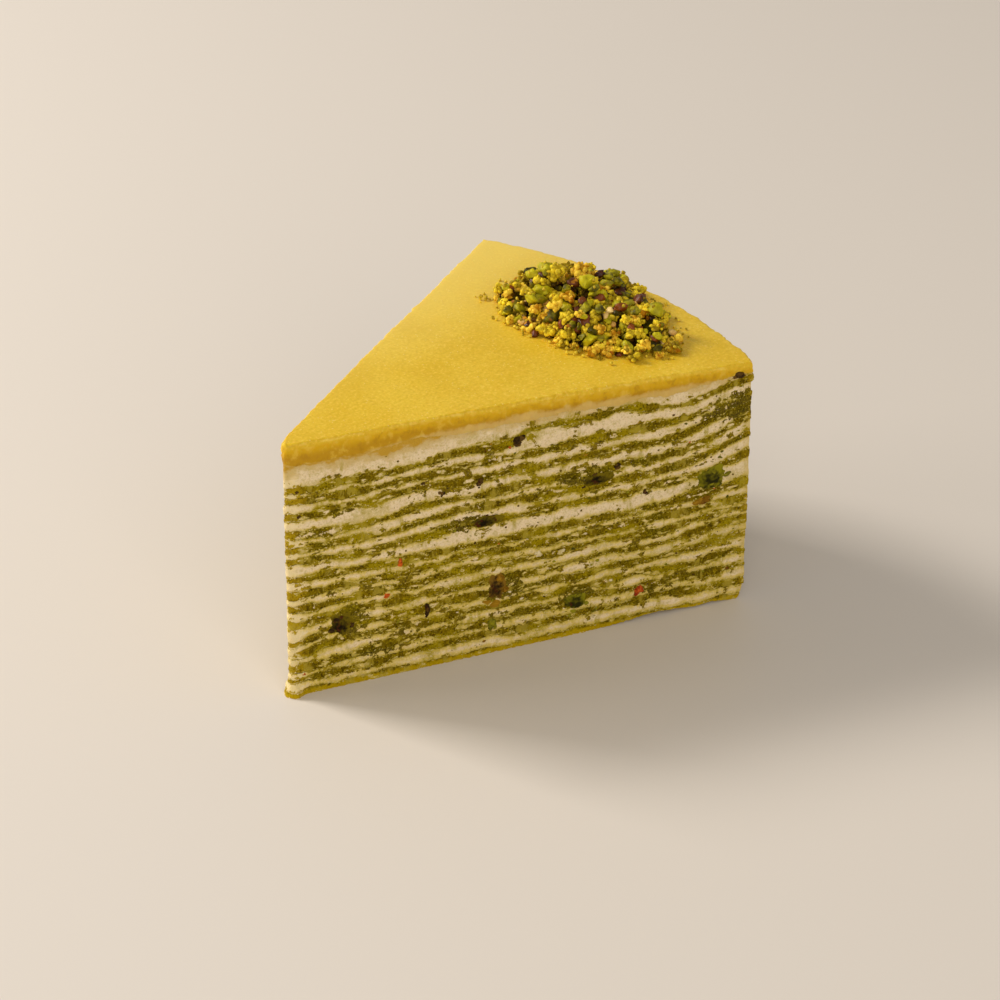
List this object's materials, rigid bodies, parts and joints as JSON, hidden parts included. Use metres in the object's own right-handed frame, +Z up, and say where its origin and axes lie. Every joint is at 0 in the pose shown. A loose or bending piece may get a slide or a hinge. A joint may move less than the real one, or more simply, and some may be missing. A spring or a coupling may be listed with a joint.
{
  "type": "crepe cake slice",
  "caption": "Wedge of pistachio crepe cake: green crepes with cream between, set yellow glaze, chopped nuts heaped near the rim.",
  "frame": {"origin": "middle of the underside's bounding box, on the surface that the slice stands on", "axes": "+Z up; -X towards the tip, +X towards the round rim; the cut faces look towards -Y and +Y"},
  "size_m": [0.114, 0.0884, 0.0724],
  "materials": {
    "crepe": "moist granular green crumb",
    "cream": "soft satin cream",
    "glaze": "set satin glaze",
    "nut_green": "cut pistachio",
    "nut_brown": "pistachio skin",
    "chopped_nuts": "coarsely chopped pistachios"
  },
  "bodies": {
    "root": {"crepe_01": "crepe", "crepe_02": "crepe", "crepe_03": "crepe", "crepe_04": "crepe", "crepe_05": "crepe", "crepe_06": "crepe", "crepe_07": "crepe", "crepe_08": "crepe", "crepe_09": "crepe", "crepe_10": "crepe", "crepe_11": "crepe", "crepe_12": "crepe", "crepe_13": "crepe", "crepe_14": "crepe", "crepe_15": "crepe", "cream_01": "cream", "cream_02": "cream", "cream_03": "cream", "cream_04": "cream", "cream_05": "cream", "cream_06": "cream", "cream_07": "cream", "cream_08": "cream", "cream_09": "cream", "cream_10": "cream", "cream_11": "cream", "cream_12": "cream", "cream_13": "cream", "cream_14": "cream", "cream_15": "cream", "glaze": "glaze", "nut_bit_green_large": "nut_green", "nut_bit_green_low": "nut_green", "nut_bit_brown": "nut_brown", "nut_bit_dark_flat": "nut_brown", "nut_bit_dark_tip": "nut_brown", "nut_bit_dark_long": "nut_brown", "nut_bit_far_green": "nut_green", "nut_bit_far_brown": "nut_brown", "nut_bit_far_dark": "nut_brown", "chopped_nuts": "chopped_nuts"}
  },
  "joints": []
}
